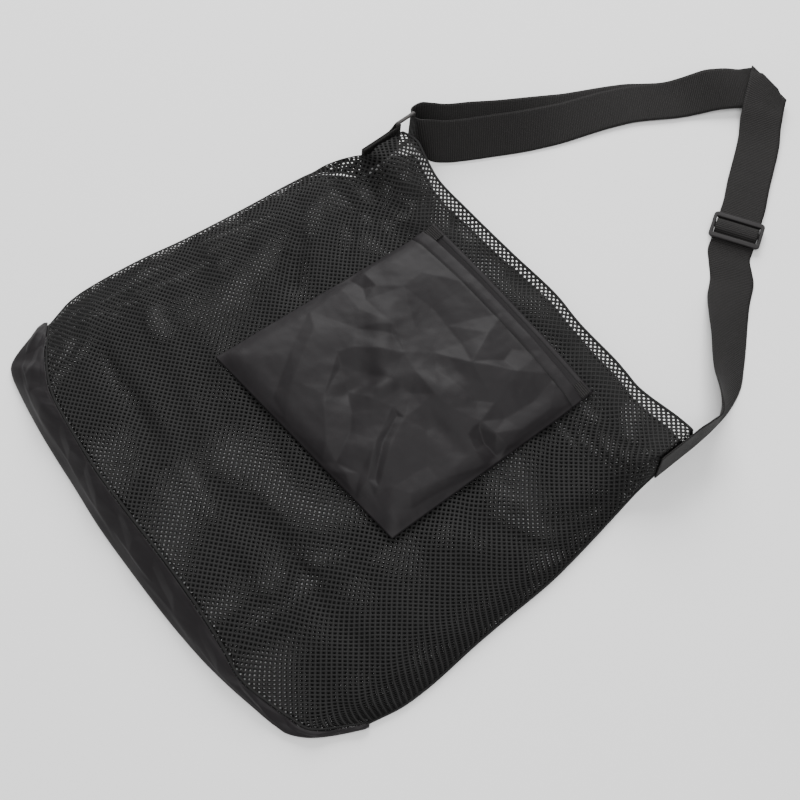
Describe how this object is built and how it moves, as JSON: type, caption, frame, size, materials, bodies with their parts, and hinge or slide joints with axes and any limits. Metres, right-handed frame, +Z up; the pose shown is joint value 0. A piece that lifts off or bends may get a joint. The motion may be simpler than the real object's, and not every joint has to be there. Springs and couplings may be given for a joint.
{
  "type": "harvest bag",
  "caption": "Flat mesh harvest sack with a boxed nylon base, a nylon patch pocket on its front and one webbing shoulder strap with a tri-glide slider, lying as put down.",
  "frame": {"origin": "floor under the middle of the bag as it lies, midway across its outline with the strap laid out", "axes": "+Z up from the floor, +Y from the base towards the mouth and the strap's far fold, +X across the mouth from the ring's corner to the corner where the strap is sewn"},
  "size_m": [0.4812, 0.7726, 0.0477],
  "materials": {
    "mesh_cloth": "warp-knit polyester mesh, dull with a slight thread sheen",
    "nylon": "coated plain-weave nylon, satin and crumpled",
    "webbing": "ribbed polypropylene webbing, matt",
    "tape": "narrow ribbed tape, matt",
    "slider_plastic": "moulded acetal, slightly satin",
    "ring_plastic": "moulded acetal, slightly satin"
  },
  "bodies": {
    "root": {"mesh_front": "mesh_cloth", "mesh_back": "mesh_cloth", "base_panel": "nylon", "pocket_front": "nylon", "pocket_back": "nylon", "pocket_tape_left": "tape", "pocket_tape_right": "tape", "ring": "ring_plastic", "ring_tab": "webbing", "strap": "webbing", "slider": "slider_plastic"}
  },
  "joints": []
}
